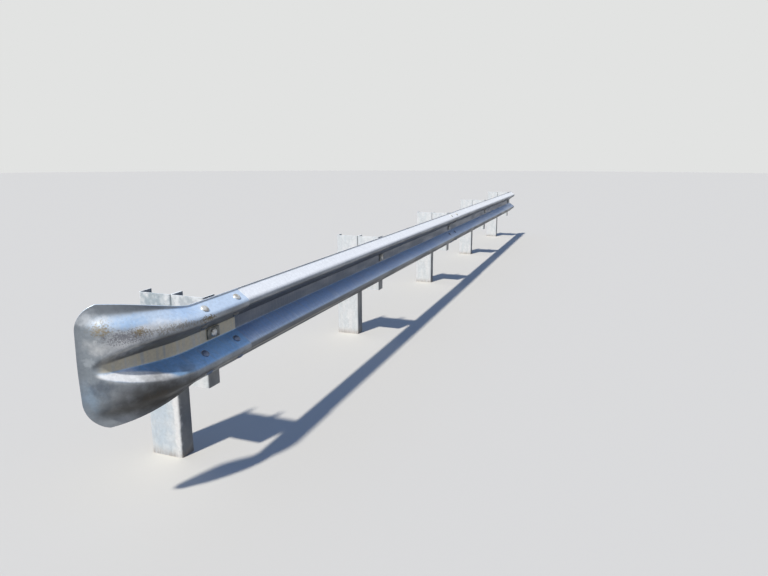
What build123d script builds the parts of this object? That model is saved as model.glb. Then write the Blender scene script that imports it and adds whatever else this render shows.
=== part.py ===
"""Highway guardrail section: two lapped W-beams on channel posts, with a flattened wing end."""

from build123d import *
import math
import os

# Driving dimensions, in millimetres and degrees

# The run
bay_length = 2000
bays_per_beam = 2
beam_count = 2
rail_top_height = 742

# Corrugated sheet
sheet_wall = 2.67
beam_height = 312
beam_depth = 83
crest_spacing = 194
valley_half_width = 29
edge_lip = 8
slope_angle = 55
crest_bend_run = 10.4
valley_bend_run = 6.6
lip_bend_run = 3.5
bend_share = 0.45

# Laps between sheets
lap_half_length = 160
splice_bolt_reach = 108
splice_slot_length = 29
splice_slot_width = 23
post_slot_length = 65
post_slot_width = 20
lap_play = 0.03

# Wing end
wing_length = 590
wing_bend_start = 195
wing_arc_radius = 433
wing_half_height = 228
wing_margin = 46
wing_crest_share = 0.52
wing_sink_share = 0.65
wing_edge_power = 1.25
wing_run_growth = 0.2
wing_bend_run = 26
wing_fade_length = 90
wing_trim = 14
wing_end_bow = 6
wing_bow_run = 60
wing_top_corner = 92
wing_bottom_corner = 105
pocket_start = 190
pocket_end_gap = 38
flat_left = 0.04
pocket_stations = 9
flat_stations = 4

# Channel posts
post_width = 165
post_flange = 75
post_wall = 5
post_bend_radius = 10
post_top_height = 740

# Channel spacers
spacer_width = 165
spacer_flange = 75
spacer_wall = 4.5
spacer_bend_radius = 9
spacer_height = 390
seat_play = 0.1

# Bolt holes in the channels
bolt_line = 37.5
hole_length = 24
hole_width = 18

# Plate washers
washer_length = 76
washer_height = 44
washer_thickness = 5
washer_slot_length = 26
washer_slot_width = 18

# Sizes that follow from the driving dimensions
fold = math.radians(slope_angle)
slope_rise = beam_depth - sheet_wall
crest_inner_edge = valley_half_width + slope_rise / math.tan(fold)
crest_outer_edge = crest_spacing - crest_inner_edge
outer_run = beam_height / 2 - edge_lip - crest_outer_edge
outer_rise = outer_run * math.tan(fold)
lip_reach = slope_rise / 2 - outer_rise
pocket_end = wing_length - pocket_end_gap
lap_step = (sheet_wall + lap_play) / math.cos(fold)
beam_pitch = bay_length * bays_per_beam
beam_length = beam_pitch + 2 * lap_half_length
rail_axis_height = rail_top_height - beam_height / 2
bolt_x = bolt_line - post_wall / 2
seat_y = -post_width / 2 - spacer_width - seat_play
spacer_foot = post_top_height - spacer_height
post_count = bays_per_beam * beam_count + 1
beam_slant = math.degrees(math.atan2(lap_step, beam_pitch))


def wing_share(place):
    """How far along the flare this distance from the bolt line is, from none to all."""
    return max(0, place - lap_half_length) / (wing_length - lap_half_length)


def wing_swell(place):
    """How much the section has swollen there: quickly at first and slower to the free end."""
    return math.sin(math.pi / 2 * wing_share(place))


def sheet_points(place=0):
    """Corners of the sheet's rear line at this distance from the bolt line into the wing.

    The first number is the height from the axis, the second the reach towards the road from
    the section's middle depth. In the wing the lips widen to a margin, the crests sink and
    broaden, and the valley between them closes in a pocket with a rounded end.
    """
    swell = wing_swell(place)
    edge = beam_height / 2 + (wing_half_height - beam_height / 2) * swell**wing_edge_power
    margin = edge_lip + (wing_margin - edge_lip) * swell**2
    run = outer_run * (1 + wing_run_growth * swell)
    sunk = math.sin(math.pi / 2 * min(1, wing_share(place) / wing_sink_share)) ** 2
    sinking = 1 - (1 - wing_crest_share) * sunk
    fade = max(flat_left, min(1, (wing_length - place) / wing_fade_length))
    crest = lip_reach + outer_rise * sinking * math.sin(math.pi / 2 * fade) ** 2
    pocket = pocket_scale(place)
    valley_edge, crest_edge = valley_half_width * pocket, crest_inner_edge * pocket
    upper = [
        (valley_edge, crest - slope_rise * pocket**2),
        (crest_edge, crest),
        (edge - margin - run, crest),
        (edge - margin, lip_reach),
        (edge, lip_reach),
    ]
    lower = [(-height, depth) for height, depth in reversed(upper)]
    return lower + upper


def pocket_scale(place):
    """The valley's size against the full section's, which falls to nothing at the pocket's end."""
    along = max(0, place - pocket_start) / (pocket_end - pocket_start)
    return math.sqrt(max(flat_left**2, 1 - along**2))


def bend_radii(points, place):
    """Radii of the rear line's bends: each bend starts at its run, or less on a short flat."""
    swell = wing_swell(place)
    lip_run = lip_bend_run + (wing_bend_run - lip_bend_run) * swell
    outer_bend_run = crest_bend_run + (wing_bend_run - crest_bend_run) * swell
    runs = [lip_run, outer_bend_run, crest_bend_run, valley_bend_run]
    runs = runs + runs[::-1]
    radii = []
    for run, before, corner, after in zip(runs, points, points[1:], points[2:]):
        flats = [math.dist(before, corner), math.dist(corner, after)]
        first = math.atan2(corner[1] - before[1], corner[0] - before[0])
        second = math.atan2(after[1] - corner[1], after[0] - corner[0])
        radii.append(min(run, bend_share * min(flats)) / math.tan(abs(second - first) / 2))
    return radii


def sheet_plane(x, y, turn=0):
    """Plane across the rail: its first axis is up, its second faces the road."""
    swing = math.radians(turn)
    facing = (math.cos(swing), -math.sin(swing), 0)
    return Plane(origin=(x, y, rail_axis_height), x_dir=(0, 0, 1), z_dir=facing)


def sheet_section(plane, place=0):
    """The corrugated sheet's section, one wall thick, on the road side of its rear line."""
    points = sheet_points(place)
    with BuildSketch(plane) as section:
        with BuildLine():
            FilletPolyline(*points, radius=bend_radii(points, place))
            offset(amount=sheet_wall, side=Side.LEFT)
        make_face()
    return section.sketch


def slope_planes(x, rear_y):
    """Planes square to the four slopes at their middles, where the splice bolts go through."""
    turn = math.radians(slope_angle)
    points = sheet_points()
    planes = []
    for first, second in ((5, 6), (7, 8)):
        height = (points[first][0] + points[second][0]) / 2
        depth = (points[first][1] + points[second][1]) / 2 + slope_rise / 2
        rise = 1 if first == 7 else -1
        for side in (1, -1):
            normal = (0, -math.cos(turn), side * rise * math.sin(turn))
            spot = (x, rear_y - depth, rail_axis_height + side * height)
            planes.append(Plane(origin=spot, x_dir=(1, 0, 0), z_dir=normal))
    return planes


def cut_splice_slots(x, rear_y):
    """Cut both columns of splice slots and the post bolt's slot of the lap about x."""
    for column in (-splice_bolt_reach, splice_bolt_reach):
        for plane in slope_planes(x + column, rear_y):
            with BuildSketch(plane) as slot:
                SlotOverall(splice_slot_length, splice_slot_width)
            extrude(slot.sketch, amount=4 * sheet_wall, both=True, mode=Mode.SUBTRACT)
    cut_post_slot(x, rear_y)


def cut_post_slot(x, rear_y):
    """Cut the long slot of the post bolt in the valley."""
    valley = Plane(origin=(x, rear_y, rail_axis_height), x_dir=(1, 0, 0), z_dir=(0, -1, 0))
    with BuildSketch(valley) as slot:
        SlotOverall(post_slot_length, post_slot_width)
    extrude(slot.sketch, amount=4 * sheet_wall, both=True, mode=Mode.SUBTRACT)


def rear_at(x, lap=0):
    """The sheet's rear plane at x along a beam that starts at the bolt line, laps in front of it."""
    return seat_y - lap_step * (x / beam_pitch + lap)


def make_beam(number):
    """One beam, from the middle of one lap to the middle of the next, and both lap ends."""
    start = bolt_x + (number - 1) * beam_pitch
    with BuildPart() as beam:
        rear = rear_at(-lap_half_length)
        near_end = sheet_plane(start - lap_half_length, rear - slope_rise / 2, beam_slant)
        extrude(sheet_section(near_end), amount=beam_length)
        cut_splice_slots(start, rear_at(0) - lap_step)
        cut_splice_slots(start + beam_pitch, rear_at(beam_pitch))
        for bay in range(1, bays_per_beam):
            cut_post_slot(start + bay * bay_length, rear_at(bay * bay_length))
    return beam


def wing_plane(place):
    """Plane across the wing at this distance from the bolt line: straight on, then round an arc."""
    middle = rear_at(-place, 1) - slope_rise / 2
    if place <= wing_bend_start:
        return sheet_plane(bolt_x - place, middle, beam_slant)
    swing = (place - wing_bend_start) / (wing_arc_radius + lip_reach)
    x = bolt_x - wing_bend_start - wing_arc_radius * math.sin(swing)
    y = middle + wing_arc_radius * (1 - math.cos(swing))
    return sheet_plane(x, y, beam_slant + math.degrees(swing))


def wing_places():
    """Stations of the wing's sections: closer together where the pocket closes, then even."""
    places = [lap_half_length]
    for station in range(pocket_stations):
        turn = math.pi / 2 * station / (pocket_stations - 1)
        places.append(pocket_start + (pocket_end - pocket_start) * math.sin(turn))
    flat = (wing_length + wing_trim - pocket_end) / flat_stations
    return places + [pocket_end + flat * (station + 1) for station in range(flat_stations)]


def wing_outline():
    """The wing seen square to its free end: a long plate with rounded corners and a bowed end."""
    view = wing_plane(wing_length)
    facing = Plane(origin=view.origin, x_dir=view.z_dir, z_dir=view.y_dir)
    reach = 2 * (wing_length + lap_half_length)
    top, bottom = wing_half_height, -wing_half_height
    bow_radius = wing_bow_run * wing_half_height / wing_end_bow
    with BuildSketch(facing) as outline:
        with BuildLine():
            corners = [(reach, top), (0, top), (-wing_end_bow, 0), (0, bottom), (reach, bottom)]
            FilletPolyline(*corners, radius=[wing_top_corner, bow_radius, wing_bottom_corner])
            Line(corners[-1], corners[0])
        make_face()
    return outline.sketch


def make_wing():
    """The wing: a straight lapped part, then the section swelling to a flat end along an arc."""
    with BuildPart() as wing:
        extrude(sheet_section(wing_plane(lap_half_length)), amount=2 * lap_half_length)
        loft([sheet_section(wing_plane(place), place) for place in wing_places()], ruled=True)
        extrude(wing_outline(), amount=2 * wing_arc_radius, both=True, mode=Mode.INTERSECT)
        cut_splice_slots(bolt_x, rear_at(0, 1))
    return wing


def make_channel(width, flange, wall, bend_radius, near_y, back_x):
    """Section of a cold-formed channel: its web stands across the rail, its flanges run along it."""
    near, far = near_y, near_y + width
    with BuildSketch() as section:
        with BuildLine():
            corners = [(back_x + flange, near), (back_x, near), (back_x, far), (back_x + flange, far)]
            FilletPolyline(*corners, radius=bend_radius)
            offset(amount=wall, side=Side.RIGHT)
        make_face()
    return section.sketch


def cut_flange_slot(x, y):
    """Cut an upright bolt slot through the flange at y, level with the rail's axis."""
    flange = Plane(origin=(x, y, rail_axis_height), x_dir=(0, 0, 1), z_dir=(0, -1, 0))
    with BuildSketch(flange) as slot:
        SlotOverall(hole_length, hole_width)
    extrude(slot.sketch, amount=2 * post_wall, both=True, mode=Mode.SUBTRACT)


def carried_shift(number):
    """How far the beam's slant brings the post of this number towards the road."""
    beam = min((number - 1) // bays_per_beam, beam_count - 1)
    along = (number - 1) * bay_length - beam * beam_pitch
    return -lap_step * along / beam_pitch


def make_post(number):
    """One post, from the ground to its top, with the spacer's bolt slot in its road flange."""
    back_x = (number - 1) * bay_length - post_wall / 2
    near_y = carried_shift(number) - post_width / 2
    with BuildPart() as post:
        section = make_channel(post_width, post_flange, post_wall, post_bend_radius, near_y, back_x)
        extrude(section, amount=post_top_height)
        cut_flange_slot(back_x + bolt_line, near_y)
    return post


def make_spacer(number):
    """One spacer, between the post's road flange and the back of the sheet."""
    back_x = (number - 1) * bay_length - post_wall / 2
    near_y = carried_shift(number) - post_width / 2 - spacer_width
    with BuildPart() as spacer:
        section = make_channel(
            spacer_width, spacer_flange, spacer_wall, spacer_bend_radius, near_y, back_x
        )
        extrude(Plane.XY.offset(spacer_foot) * section, amount=spacer_height)
        cut_flange_slot(back_x + bolt_line, near_y + spacer_width)
        cut_flange_slot(back_x + bolt_line, near_y)
    return spacer


def make_washer(number):
    """The plate washer of one post bolt, flat in the valley of the front sheet."""
    x = (number - 1) * bay_length + bolt_x
    lapped = (number - 1) % bays_per_beam == 0 and number < post_count
    front = seat_y + carried_shift(number) - sheet_wall - (lap_step if lapped else 0) - seat_play
    with BuildPart() as washer:
        valley = Plane(origin=(x, front, rail_axis_height), x_dir=(1, 0, 0), z_dir=(0, -1, 0))
        with BuildSketch(valley) as plate:
            Rectangle(washer_length, washer_height)
            SlotOverall(washer_slot_length, washer_slot_width, mode=Mode.SUBTRACT)
        extrude(plate.sketch, amount=washer_thickness)
    return washer


def finish(piece, name):
    """Label the piece and write it."""
    piece.part.label = name
    export_step(piece.part, f"parts/{name}.step")


os.makedirs("parts", exist_ok=True)
finish(make_wing(), "wing_terminal")
for number in range(1, beam_count + 1):
    finish(make_beam(number), f"beam_{number}")
for number in range(1, post_count + 1):
    finish(make_post(number), f"post_{number}")
    finish(make_spacer(number), f"spacer_{number}")
    finish(make_washer(number), f"plate_washer_{number}")
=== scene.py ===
"""Looks of the highway guardrail section: wing sheet, bolts, zinc finishes, studio and camera.

Every size is in metres, in the frame of the CAD model. The wing's sheet is laid out again as a
fine surface by the same laws as its solid, the bolts and nuts of the laps and posts are added,
and each piece gets a zinc finish of its own.
"""

import logging
import math
from dataclasses import dataclass, field
from enum import Enum

import bpy
import numpy as np
from mathutils import Matrix, Vector

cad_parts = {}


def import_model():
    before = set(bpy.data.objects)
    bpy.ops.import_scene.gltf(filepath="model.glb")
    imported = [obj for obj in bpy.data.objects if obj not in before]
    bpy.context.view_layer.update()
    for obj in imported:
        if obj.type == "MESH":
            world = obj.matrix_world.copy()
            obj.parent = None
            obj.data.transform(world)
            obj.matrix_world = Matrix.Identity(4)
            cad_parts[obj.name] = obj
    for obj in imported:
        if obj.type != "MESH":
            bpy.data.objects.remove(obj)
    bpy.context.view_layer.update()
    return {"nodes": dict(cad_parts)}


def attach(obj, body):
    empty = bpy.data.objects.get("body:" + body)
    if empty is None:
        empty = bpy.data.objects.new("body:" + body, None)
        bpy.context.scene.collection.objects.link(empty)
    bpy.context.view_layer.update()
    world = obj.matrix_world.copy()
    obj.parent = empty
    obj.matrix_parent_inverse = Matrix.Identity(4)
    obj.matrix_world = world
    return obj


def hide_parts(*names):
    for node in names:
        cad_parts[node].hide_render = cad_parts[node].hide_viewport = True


LOG = logging.getLogger("guardrail")
BODY = "root"

Material = bpy.types.Material
NodeTree = bpy.types.NodeTree
SceneObject = bpy.types.Object
Socket = bpy.types.NodeSocket
Pair = tuple[float, float]
Triple = tuple[float, float, float]

# The sockets of a colour Mix node: its share and two colours go in, and the result comes out.
MIX_SHARE, MIX_UNDER, MIX_OVER, MIX_RESULT = 0, 6, 7, 2

# Nearly every value of a noise node lies between these two.
NOISE_RANGE = (0.3, 0.7)

# Two limits that keep a bend from dividing by nought: the least tangent of half its angle, and
# the most of its radius at which its arc is read.
LEAST_TANGENT, ARC_REACH = 1e-6, 0.999


def linear(hex_colour: str) -> tuple[float, float, float, float]:
    """Turn an sRGB hex colour into linear red, green, blue and an alpha of one.

    A dark share is divided by 12.92. A lighter one has 0.055 added, is divided by 1.055 and is
    raised to the power of 2.4.

    Args:
        hex_colour: The colour as "#rrggbb".

    Returns:
        The four linear values that a colour socket takes.
    """
    shares = [int(hex_colour[i : i + 2], 16) / 255 for i in (1, 3, 5)]
    values = [c / 12.92 if c <= 0.04045 else ((c + 0.055) / 1.055) ** 2.4 for c in shares]
    return (*values, 1.0)


def add_node(
    tree: NodeTree, kind: str, inputs: dict | None = None, **settings: object
) -> bpy.types.Node:
    """Add one node to a tree, with its settings, values and links.

    Args:
        tree: The node tree that gets it.
        kind: The node's type name.
        inputs: For each input, by name or number, a value or the output socket that feeds it.
        **settings: Attributes of the node itself.

    Returns:
        The new node.
    """
    node = tree.nodes.new(kind)
    for name, value in settings.items():
        setattr(node, name, value)
    for key, value in (inputs or {}).items():
        if isinstance(value, Socket):
            tree.links.new(value, node.inputs[key])
        else:
            node.inputs[key].default_value = value
    return node


@dataclass(frozen=True)
class Shell:
    """The points and faces of closed skins, kept as whole arrays.

    Attributes:
        points: One row of x, y, z for each vertex.
        quads: One row of four vertex numbers for each four-sided face.
        triangles: One row of three vertex numbers for each three-sided face.
    """

    points: np.ndarray
    quads: np.ndarray
    triangles: np.ndarray = field(default_factory=lambda: np.zeros((0, 3), int))

    def outward(self) -> "Shell":
        """Turn the faces so that they point outwards.

        The signed volume is a sixth of the sum, over all triangles, of the first corner dotted
        with the cross product of the other two; where it is negative every face is reversed.

        Returns:
            The same skin with a positive volume.
        """
        halves = [self.quads[:, [0, 1, 2]], self.quads[:, [0, 2, 3]], self.triangles]
        a, b, c = (self.points[np.concatenate(halves)[:, k]] for k in range(3))
        if np.einsum("ij,ij->", a, np.cross(b, c)) >= 0:
            return self
        return Shell(self.points, self.quads[:, ::-1], self.triangles[:, ::-1])

    def at_places(self, places: list[Matrix]) -> "Shell":
        """Set a copy of the skin at each place.

        Every point is multiplied by every place's matrix at once, as one array product.

        Args:
            places: A matrix for each copy.

        Returns:
            All copies together.
        """
        matrices = np.array([list(map(list, place)) for place in places])
        points = np.einsum("kij,nj->kni", matrices[:, :3, :3], self.points)
        points += matrices[:, None, :3, 3]
        steps = np.arange(len(places))[:, None, None] * len(self.points)
        return Shell(
            points.reshape(-1, 3),
            (self.quads[None] + steps).reshape(-1, 4),
            (self.triangles[None] + steps).reshape(-1, 3),
        )

    @staticmethod
    def joined(shells: list["Shell"]) -> "Shell":
        """Put several skins into one.

        Args:
            shells: The skins.

        Returns:
            One skin with the vertex numbers shifted past each other.
        """
        starts = np.cumsum([0] + [len(s.points) for s in shells[:-1]])
        return Shell(
            np.concatenate([s.points for s in shells]),
            np.concatenate([s.quads + n for s, n in zip(shells, starts)]),
            np.concatenate([s.triangles + n for s, n in zip(shells, starts)]),
        )

    def to_object(self, name: str, material: Material, slot: str, crease: float = 40) -> SceneObject:
        """Make the skin an object of the part that rides on the frame.

        Args:
            name: The object's name.
            material: Its material.
            slot: The record's material slot; not used.
            crease: The angle in degrees past which an edge stays sharp.

        Returns:
            The new object.
        """
        mesh = bpy.data.meshes.new(name)
        mesh.from_pydata(self.points.tolist(), [], self.quads.tolist() + self.triangles.tolist())
        mesh.shade_smooth()
        mesh.set_sharp_from_angle(angle=math.radians(crease))
        mesh.materials.append(material)
        piece = bpy.data.objects.new(name, mesh)
        bpy.context.scene.collection.objects.link(piece)
        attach(piece, BODY)
        return piece


def closed_rings(radius: np.ndarray, height: np.ndarray, sides: int) -> Shell:
    """Stack rings about the z axis and close both ends in a pole.

    Each point is (r cos a, r sin a, h), where a is the turn of its column and r and h are the
    radius and height of its row and column.

    Args:
        radius: The radii, one row for each ring.
        height: The heights, alike.
        sides: The number of steps in a full turn.

    Returns:
        The closed skin.
    """
    turn = np.arange(sides) * 2 * np.pi / sides
    rings = np.broadcast_arrays(radius * np.cos(turn), radius * np.sin(turn), height)
    rings = np.stack(rings, axis=-1)
    rows = len(rings)
    poles = [[0, 0, rings[0, :, 2].mean()], [0, 0, rings[-1, :, 2].mean()]]
    here = np.arange(sides)
    there = (here + 1) % sides
    last = (rows - 1) * sides
    first_cap = np.stack([here * 0 + rows * sides, here, there], axis=-1)
    last_cap = np.stack([here * 0 + rows * sides + 1, there + last, here + last], axis=-1)
    points = np.concatenate([rings.reshape(-1, 3), poles])
    return Shell(points, grid_quads(rows, sides), np.concatenate([first_cap, last_cap])).outward()


def turned(profile: list[Pair], sides: int) -> Shell:
    """Carry a profile of radius and height once round the z axis.

    Args:
        profile: Radius and height of each ring, from one end to the other.
        sides: The number of steps in a full turn.

    Returns:
        The closed skin.
    """
    rows = np.array(profile)
    return closed_rings(rows[:, :1], rows[:, 1:], sides)


def grid_quads(rows: int, columns: int, closed: bool = True) -> np.ndarray:
    """Number the four-sided faces of a grid of points that is stored row by row.

    Args:
        rows: The number of rows.
        columns: The number of points in a row.
        closed: Whether the last column joins the first.

    Returns:
        One row of four vertex numbers for each face.
    """
    row = np.arange(rows - 1)[:, None]
    column = np.arange(columns if closed else columns - 1)[None]
    below, right = row + 1, (column + 1) % columns
    corners = [(row, column), (row, right), (below, right), (below, column)]
    numbers = [line * columns + place for line, place in corners]
    return np.stack(numbers, axis=-1).reshape(-1, 4)


@dataclass(frozen=True)
class Rail:
    """The sizes that sheets, channels and joints share, as the CAD model has them.

    Attributes:
        bay: From post to post.
        beam_pitch: From lap to lap.
        post_count: How many posts stand under the section.
        lapped_posts: The numbers of those at which two sheets lap.
        axis_height: Height of the middle of the beams' section.
        bolt_x: Distance of each post bolt from the middle of its post's web.
        wall: Thickness of the beams' and the wing's sheet.
        half_height: Half the height of the beams' section.
        depth: Its depth from the valley's rear to the crests' front.
        crest_spacing: From crest to crest.
        valley_half_width: Half the width of the valley's floor.
        edge_lip: Width of the flat lip at each edge.
        slope: Angle between the section's slopes and its flats.
        lap_half_length: From the post bolt to a lapped sheet's end.
        splice_reach: From the post bolt to each column of splice bolts.
        lap_play: Gap between two lapped sheets.
        channel_half_width: Half the width of the posts' and the spacers' webs.
        post_wall: Thickness of the posts' channel.
        spacer_wall: Thickness of the spacers' channel.
        seat_play: Gap between a sheet and what it is bolted to.
        washer_thickness: Thickness of the oblong plate washers.
    """

    bay: float = 2.0
    beam_pitch: float = 4.0
    post_count: int = 5
    lapped_posts: tuple[int, ...] = (1, 3)
    axis_height: float = 0.586
    bolt_x: float = 0.035
    wall: float = 0.00267
    half_height: float = 0.156
    depth: float = 0.083
    crest_spacing: float = 0.194
    valley_half_width: float = 0.029
    edge_lip: float = 0.008
    slope: float = math.radians(55)
    lap_half_length: float = 0.160
    splice_reach: float = 0.108
    lap_play: float = 0.00003
    channel_half_width: float = 0.0825
    post_wall: float = 0.005
    spacer_wall: float = 0.0045
    seat_play: float = 0.0001
    washer_thickness: float = 0.005

    @property
    def slope_rise(self) -> float:
        """How far a crest's rear stands in front of the valley's rear."""
        return self.depth - self.wall

    @property
    def crest_inner_edge(self) -> float:
        """Height from the axis at which the inner slope meets the crest."""
        return self.valley_half_width + self.slope_rise / math.tan(self.slope)

    @property
    def outer_run(self) -> float:
        """Height that the outer slope takes up."""
        return self.half_height - self.edge_lip - (self.crest_spacing - self.crest_inner_edge)

    @property
    def lip_reach(self) -> float:
        """Depth of the lips from the section's middle, towards the road."""
        return self.slope_rise / 2 - self.outer_run * math.tan(self.slope)

    @property
    def lap_step(self) -> float:
        """How far a lap brings the front sheet towards the road."""
        return (self.wall + self.lap_play) / math.cos(self.slope)

    @property
    def seat_y(self) -> float:
        """The plane on which the first sheet sits against the spacers."""
        return -3 * self.channel_half_width - self.seat_play

    def rear_at(self, x: float | np.ndarray, lap: int = 0) -> float | np.ndarray:
        """The sheet's rear plane at x from the bolt line that it starts at.

        Args:
            x: Distance along the rail from that bolt line.
            lap: One for the sheet in front at that line, and none for the one behind.

        Returns:
            The y of the valley's rear face.
        """
        return self.seat_y - self.lap_step * (x / self.beam_pitch + lap)

    def carried_shift(self, number: int) -> float:
        """How far the beam's slant brings this post towards the road.

        Args:
            number: The post's number, from one.

        Returns:
            The shift along y.
        """
        beam = min((number - 1) // 2, 1)
        return -self.lap_step * ((number - 1) * self.bay - beam * self.beam_pitch) / self.beam_pitch


@dataclass(frozen=True)
class Wing:
    """The flared end sheet: it laps the first beam, swells to a plate and swings round an arc.

    Lengths and places along the sheet are from the bolt line. A bend's run is how far from its
    corner it starts.

    Attributes:
        rail: The sizes that it shares with the beams.
        length: Place of the free end.
        bend_start: Place at which the sheet leaves the rail's line.
        arc_radius: Radius of that bend at the middle of the section.
        half_height: Half the height of the free end.
        margin: Width of the flat lip at the free end.
        crest_share: Share of their rise that the crests keep.
        sink_share: Share of the flare in which they sink to it.
        edge_power: Power of the swell that the edges rise with.
        run_growth: Share by which the outer slopes widen.
        flare_bend_run: Run of the outer bends at the free end.
        fade_length: Length over which the crests fade before the free end.
        end_bow: How far the free end stands out in its middle, before that is rounded.
        bow_run: Height above and below the middle over which it is rounded.
        top_corner: Radius of the free end's upper corner.
        bottom_corner: Radius of its lower corner.
        pocket_start: Place at which the valley begins to close.
        pocket_end: Place of the pocket's rounded end.
        flat_left: Least share that the pocket and the fade leave, so that no face is lost.
        valley_bend_run: Run of the valley's bends.
        crest_bend_run: Run of the crests' bends.
        lip_bend_run: Run of the lips' bends in the lap.
        bend_share: Most that a run may take of the flat next to it.
        lap_rows: Stations along the lap, up to the bend.
        flare_rows: Stations along the flare.
        end_rows: Stations along the rounded end.
        columns: Points up each station.
        rim_turns: Degrees at which the rim's half circle has points.
    """

    rail: Rail = Rail()
    length: float = 0.590
    bend_start: float = 0.195
    arc_radius: float = 0.433
    half_height: float = 0.228
    margin: float = 0.046
    crest_share: float = 0.52
    sink_share: float = 0.65
    edge_power: float = 1.25
    run_growth: float = 0.2
    flare_bend_run: float = 0.026
    fade_length: float = 0.090
    end_bow: float = 0.0059
    bow_run: float = 0.060
    top_corner: float = 0.092
    bottom_corner: float = 0.105
    pocket_start: float = 0.190
    pocket_end: float = 0.552
    flat_left: float = 0.04
    valley_bend_run: float = 0.0066
    crest_bend_run: float = 0.0104
    lip_bend_run: float = 0.0035
    bend_share: float = 0.45
    lap_rows: int = 34
    flare_rows: int = 84
    end_rows: int = 56
    columns: int = 150
    rim_turns: tuple[int, ...] = (0, 45, 90, 135, 180)

    def stations(self) -> np.ndarray:
        """Distances from the bolt line at which the sheet is laid out.

        They are even along the lap and the flare, and along the rounded end they follow one
        minus the cosine, so that the corners' arcs get even steps.

        Returns:
            The distances, from the lapped end to the free end.
        """
        start = self.length - self.bottom_corner
        turn = np.linspace(np.pi / 2, 0, self.end_rows)
        return np.concatenate(
            [
                np.linspace(-self.rail.lap_half_length, self.bend_start, self.lap_rows)[:-1],
                np.linspace(self.bend_start, start, self.flare_rows)[:-1],
                self.length - self.bottom_corner * (1 - np.cos(turn)),
            ]
        )

    def swell(self, place: np.ndarray) -> np.ndarray:
        """The sine of a quarter turn times the share of the flare that lies behind each place."""
        lap = self.rail.lap_half_length
        return np.sin(np.pi / 2 * np.clip((place - lap) / (self.length - lap), 0, 1))

    def corners(self, place: np.ndarray) -> tuple[np.ndarray, np.ndarray]:
        """The corners of the upper half of the rear line, before its bends are rounded.

        The edge rises with the swell to a power, the margin with its square; the outer slope
        widens with it; the crest sinks with a squared sine and fades to the lips' depth at the
        free end; the valley shrinks as an ellipse's half width.

        Args:
            place: Distances from the bolt line, of any shape.

        Returns:
            Heights from the axis and depths towards the road, with the five corners last.
        """
        rail = self.rail
        share = np.maximum(0, place - rail.lap_half_length) / (self.length - rail.lap_half_length)
        swell = self.swell(place)
        edge = rail.half_height + (self.half_height - rail.half_height) * swell**self.edge_power
        margin = rail.edge_lip + (self.margin - rail.edge_lip) * swell**2
        run = rail.outer_run * (1 + self.run_growth * swell)
        sunk = np.sin(np.pi / 2 * np.minimum(1, share / self.sink_share)) ** 2
        fade = np.clip((self.length - place) / self.fade_length, self.flat_left, 1)
        rise = (rail.slope_rise / 2 - rail.lip_reach) * (1 - (1 - self.crest_share) * sunk)
        crest = rail.lip_reach + rise * np.sin(np.pi / 2 * fade) ** 2
        along = np.maximum(0, place - self.pocket_start) / (self.pocket_end - self.pocket_start)
        pocket = np.sqrt(np.maximum(self.flat_left**2, 1 - along**2))
        lip = np.full_like(place, rail.lip_reach)
        heights = [
            rail.valley_half_width * pocket,
            rail.crest_inner_edge * pocket,
            edge - margin - run,
            edge - margin,
            edge,
        ]
        depths = [crest - rail.slope_rise * pocket**2, crest, crest, lip, lip]
        return np.stack(heights, axis=-1), np.stack(depths, axis=-1)

    def runs(self, place: np.ndarray) -> list[np.ndarray]:
        """How far from its corner each bend starts: the outer two widen with the swell.

        Args:
            place: Distances from the bolt line.

        Returns:
            The runs of the valley's, the crest's two and the lip's bend.
        """
        swell = self.swell(place)
        outer = self.crest_bend_run + (self.flare_bend_run - self.crest_bend_run) * swell
        lip = self.lip_bend_run + (self.flare_bend_run - self.lip_bend_run) * swell
        return [self.valley_bend_run + 0 * swell, self.crest_bend_run + 0 * swell, outer, lip]

    def rear_depth(self, height: np.ndarray, place: np.ndarray) -> tuple[np.ndarray, np.ndarray]:
        """Depth and slope of the rear line at each height.

        Between corners the line is straight. Round a corner it is an arc that starts and ends
        at the bend's run from it: the depth is the arc's centre less, or plus, the root of the
        radius squared less the height from the centre squared.

        Args:
            height: Heights from the axis.
            place: Distances from the bolt line, of the same shape.

        Returns:
            Depths and slopes, of that shape too.
        """
        z, d = self.corners(place)
        z = np.concatenate([-z[..., :1], z], axis=-1)
        d = np.concatenate([d[..., :1], d], axis=-1)
        rise, run = np.diff(d, axis=-1), np.diff(z, axis=-1)
        angle, flat = np.arctan2(rise, run), np.hypot(rise, run)
        h = np.abs(height)
        depth, slope = d[..., 0] + 0 * h, 0 * h
        for k in range(5):
            there = h >= z[..., k]
            steep = np.tan(angle[..., k])
            depth = np.where(there, d[..., k] + (h - z[..., k]) * steep, depth)
            slope = np.where(there, steep, slope)
        for k, bend_run in enumerate(self.runs(place)):
            before, after = angle[..., k], angle[..., k + 1]
            shorter = np.minimum(flat[..., k], flat[..., k + 1])
            reach = np.minimum(bend_run, self.bend_share * shorter)
            corner_z, corner_d = z[..., k + 1], d[..., k + 1]
            side = np.sign(after - before)
            radius = reach / np.maximum(np.tan(np.abs(after - before) / 2), LEAST_TANGENT)
            centre_z = corner_z - reach * np.cos(before) - side * radius * np.sin(before)
            centre_d = corner_d - reach * np.sin(before) + side * radius * np.cos(before)
            off = np.clip((h - centre_z) / radius, -ARC_REACH, ARC_REACH)
            root = np.sqrt(1 - off**2)
            starts, ends = corner_z - reach * np.cos(before), corner_z + reach * np.cos(after)
            rounded = (h > starts) & (h < ends)
            depth = np.where(rounded, centre_d - side * radius * root, depth)
            slope = np.where(rounded, side * off / root, slope)
        return depth, slope * np.sign(height)

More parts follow.
